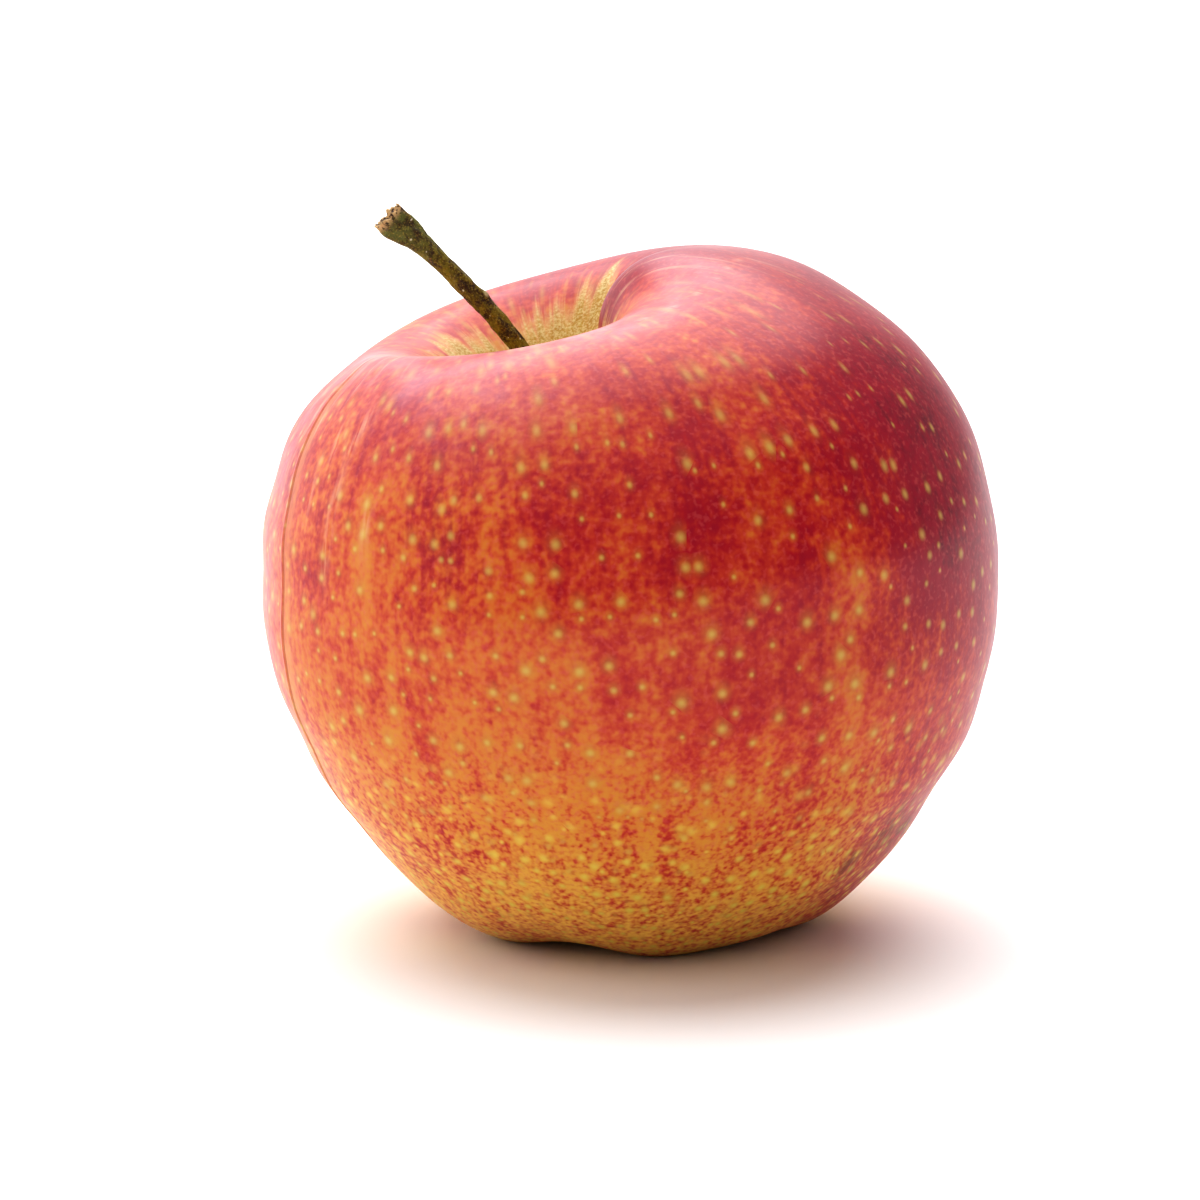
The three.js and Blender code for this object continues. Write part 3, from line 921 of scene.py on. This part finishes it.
flowerShape = {
    "sepalCount": 5,
    "sepalLongitude": 20,
    # middle line of a sepal that hangs at +X, in mm
    "sepalRoute": np.array([(2.1, 0, 0), (1.9, 0, -2.1), (1.8, 0, -3.6), (2.7, 0, -4.7)]),
    "sepalWidth": 2.7,
    "sepalThickness": 0.34,
    "sepalCup": 0.35,
    "sepalRings": 60,
    "sepalSides": 36,
    "stamenCount": 10,
    "stamenRoute": np.array([(0, 0, 0), (0.1, 0, -1.45), (0.2, 0.04, -2.2), (0.35, 0.1, -2.9)]),
    "stamenRadius": 0.13,
    "stamenHead": 0.3,
    "stamenRings": 34,
    "stamenSides": 14,
}


def turned(points, angle):
    c, s = math.cos(angle), math.sin(angle)
    return points @ np.array([(c, s, 0), (-s, c, 0), (0, 0, 1)])


def makeSepal(index):
    shape = flowerShape
    line, ahead = lineThrough(shape["sepalRoute"], shape["sepalRings"], 3)
    t = np.linspace(0, 1, shape["sepalRings"])[:, None]
    angle = np.linspace(0, 2 * math.pi, shape["sepalSides"], endpoint=False)[None, :]
    aroundEdge = np.stack([np.cos(angle) + 0 * t, np.sin(angle) + 0 * t, 5 * t + 0 * angle], -1)
    ragged = noiseAt(aroundEdge, 1.3, (index * 3.7, 2.2, 0.4), 4)
    taper = np.cos(0.47 * math.pi * t ** 1.5)
    side = np.sin(angle)
    wide = 0.5 * shape["sepalWidth"] * taper * side * (1 + 0.16 * ragged)
    thick = 0.5 * shape["sepalThickness"] * np.maximum(taper, 0.35) * np.cos(angle)
    # a cupped blade with a raised vein down its middle and a wavy edge
    vein = 0.1 * bell(side, 0.22) * taper * np.cos(angle)
    wave = shape["sepalCup"] * side ** 2 * taper + 0.14 * ragged * side ** 2
    rings = sweep(line, ahead, wide, thick + vein + wave)
    turn = math.radians(shape["sepalLongitude"] + 360 * index / shape["sepalCount"])
    rings = turned(rings, turn)
    seat = seatFor(f"sepal_{index + 1}", rings)
    return ringedMesh(f"apple_sepal_{index + 1}", seat(rings), seat(rings[0].mean(axis=0)),
                      seat(rings[-1].mean(axis=0)))


def makeStamen(index):
    shape = flowerShape
    line, ahead = lineThrough(shape["stamenRoute"], shape["stamenRings"], 3)
    t = np.linspace(0, 1, shape["stamenRings"])[:, None]
    angle = np.linspace(0, 2 * math.pi, shape["stamenSides"], endpoint=False)[None, :]
    aroundThread = np.stack([np.cos(angle) + 0 * t, np.sin(angle) + 0 * t, 4 * t + 0 * angle], -1)
    crumpled = noiseAt(aroundThread, 1.2, (1.5, index * 2.9, 0.8), 3)
    swollen = (shape["stamenHead"] - shape["stamenRadius"]) * bell(1 - t, 0.16)
    radius = (shape["stamenRadius"] + swollen) * (1 + 0.3 * crumpled)
    rings = turned(sweep(line, ahead, radius * np.cos(angle), radius * np.sin(angle)),
                   2 * math.pi * index / shape["stamenCount"])
    seat = seatFor(f"stamen_{index + 1}", rings)
    return ringedMesh(f"apple_stamen_{index + 1}", seat(rings), seat(rings[0].mean(axis=0)),
                      seat(rings[-1].mean(axis=0)))


flowerFinish = {
    "sepal": "#5c452b",
    "sepalPale": "#9a8460",
    "sepalDark": "#2c1d10",
    "stamen": "#3d2814",
    "stamenPale": "#7a5a34",
    "down": {"Cover": 0.42, "Scale": 3.5, "Depth": 1.6, "Softness": 0.15},
    "downShare": 0.7,
    "downBump": 0.4,
    "roughness": 0.9,
}


def makeDried(name, dark, pale, edge):
    # dry brown tissue with a pale down over it
    material, tree, shader = newMaterial(name)
    spot = placeInMm(tree)
    patch = clouds(tree, spot, 0.9, 3.0, 0.6)
    tissue = mixColour(tree, ease(tree, patch, 0.35, 0.65), colour(dark), colour(edge))
    down = useGroup(tree, stipple, {"Vector": stretched(tree, spot, (1, 1, 0.4)),
                                    **flowerFinish["down"]}).outputs["Mask"]
    tissue = mixColour(tree, calc(tree, "MULTIPLY", down, flowerFinish["downShare"]), tissue,
                       colour(pale))
    tree.links.new(tissue, shader.inputs["Base Color"])
    bump = addNode(tree, "Bump", {"Height": down, "Strength": flowerFinish["downBump"],
                                  "Distance": 0.0001})
    tree.links.new(bump.outputs[0], shader.inputs["Normal"])
    shader.inputs["Roughness"].default_value = flowerFinish["roughness"]
    return material


sepalFinish = makeDried("driedSepal", flowerFinish["sepalDark"], flowerFinish["sepalPale"],
                        flowerFinish["sepal"])
stamenFinish = makeDried("driedStamen", flowerFinish["stamen"], flowerFinish["stamenPale"],
                         flowerFinish["sepalDark"])
for index in range(flowerShape["sepalCount"]):
    place(makeSepal(index), f"sepal_{index + 1}", sepalFinish)
for index in range(flowerShape["stamenCount"]):
    place(makeStamen(index), f"stamen_{index + 1}", stamenFinish)
print("dried flower:", flowerShape["sepalCount"], "sepals,", flowerShape["stamenCount"], "stamens")


# studio

studio = {
    # camera: how far off, how steeply it looks down in degrees, what it looks at, in metres
    "distance": 0.52,
    "elevation": 12,
    "lookX": -0.0031,
    "lookHeight": 0.0338,
    "widthAtFruit": 0.1228,
    "floorHalf": 4.0,
    "floorPaleness": 0.95,
    "skyColour": "#ffffff",
    "backdrop": 1.05,     # brightness of the sky where the camera sees it
    "frontSky": 0.16,     # brightness of the sky's light in front, behind and overhead
    "backSky": 0.95,
    "topSky": 0.66,
    "leftSky": 1.85,      # how many times as bright it is on the left and on the right
    "rightSky": 0.42,
    "softLight": 2.4,     # strength of the broad light above and behind
    "softLightFrom": (-0.06, 0.40, 0.89),
    "softLightAngle": 72,
}


def makeFloor():
    half = studio["floorHalf"]
    mesh = bpy.data.meshes.new("floor")
    mesh.from_pydata([(-half, -half, 0), (half, -half, 0), (half, half, 0), (-half, half, 0)], [],
                     [(0, 1, 2, 3)])
    floor = bpy.data.objects.new("floor", mesh)
    scene.collection.objects.link(floor)
    material, tree, shader = newMaterial("paleFloor")
    shader.inputs["Base Color"].default_value = [studio["floorPaleness"]] * 3 + [1]
    shader.inputs["Roughness"].default_value = 0.9
    shader.inputs["Specular IOR Level"].default_value = 0.0
    mesh.materials.append(material)


def makeCamera():
    camera = bpy.data.cameras.new("camera")
    camera.sensor_width = 36
    camera.lens = camera.sensor_width * studio["distance"] / studio["widthAtFruit"]
    camera.clip_start = 0.01
    camera.clip_end = 50
    holder = bpy.data.objects.new("camera", camera)
    elevation = math.radians(studio["elevation"])
    holder.location = (studio["lookX"], -studio["distance"] * math.cos(elevation),
                       studio["lookHeight"] + studio["distance"] * math.sin(elevation))
    holder.rotation_euler = (math.pi / 2 - elevation, 0, 0)
    scene.collection.objects.link(holder)
    scene.camera = holder


def makeLight():
    world = bpy.data.worlds.new("studio")
    scene.world = world
    world.use_nodes = True
    tree = world.node_tree
    ground = tree.nodes["Background"]
    direction = addNode(tree, "TexCoord").outputs["Generated"]
    axes = addNode(tree, "SeparateXYZ", {0: direction})
    level = ease(tree, axes.outputs["Y"], -0.6, 0.45, studio["frontSky"], studio["backSky"])
    side = calc(tree, "MULTIPLY", ease(tree, axes.outputs["X"], 0.1, 0.6, 1.0, studio["rightSky"]),
                ease(tree, axes.outputs["X"], -0.95, -0.4, studio["leftSky"], 1.0))
    high = ease(tree, axes.outputs["Z"], 0.15, 0.85)
    light = addNode(tree, "Mix", {0: high, 2: level, 3: studio["topSky"]},
                    data_type="FLOAT").outputs[0]
    light = calc(tree, "MULTIPLY", light, side)
    camera = addNode(tree, "LightPath").outputs["Is Camera Ray"]
    strength = addNode(tree, "Mix", {0: camera, 2: light, 3: studio["backdrop"]},
                       data_type="FLOAT").outputs[0]
    tree.links.new(strength, ground.inputs["Strength"])
    ground.inputs["Color"].default_value = colour(studio["skyColour"])

    lamp = bpy.data.lights.new("softLight", "SUN")
    lamp.energy = studio["softLight"]
    lamp.angle = math.radians(studio["softLightAngle"])
    holder = bpy.data.objects.new("softLight", lamp)
    holder.rotation_euler = Vector(studio["softLightFrom"]).to_track_quat("Z", "Y").to_euler()
    scene.collection.objects.link(holder)


makeFloor()
makeCamera()
makeLight()
scene.view_settings.view_transform = "Standard"
scene.view_settings.look = "High Contrast"
print("studio ready")
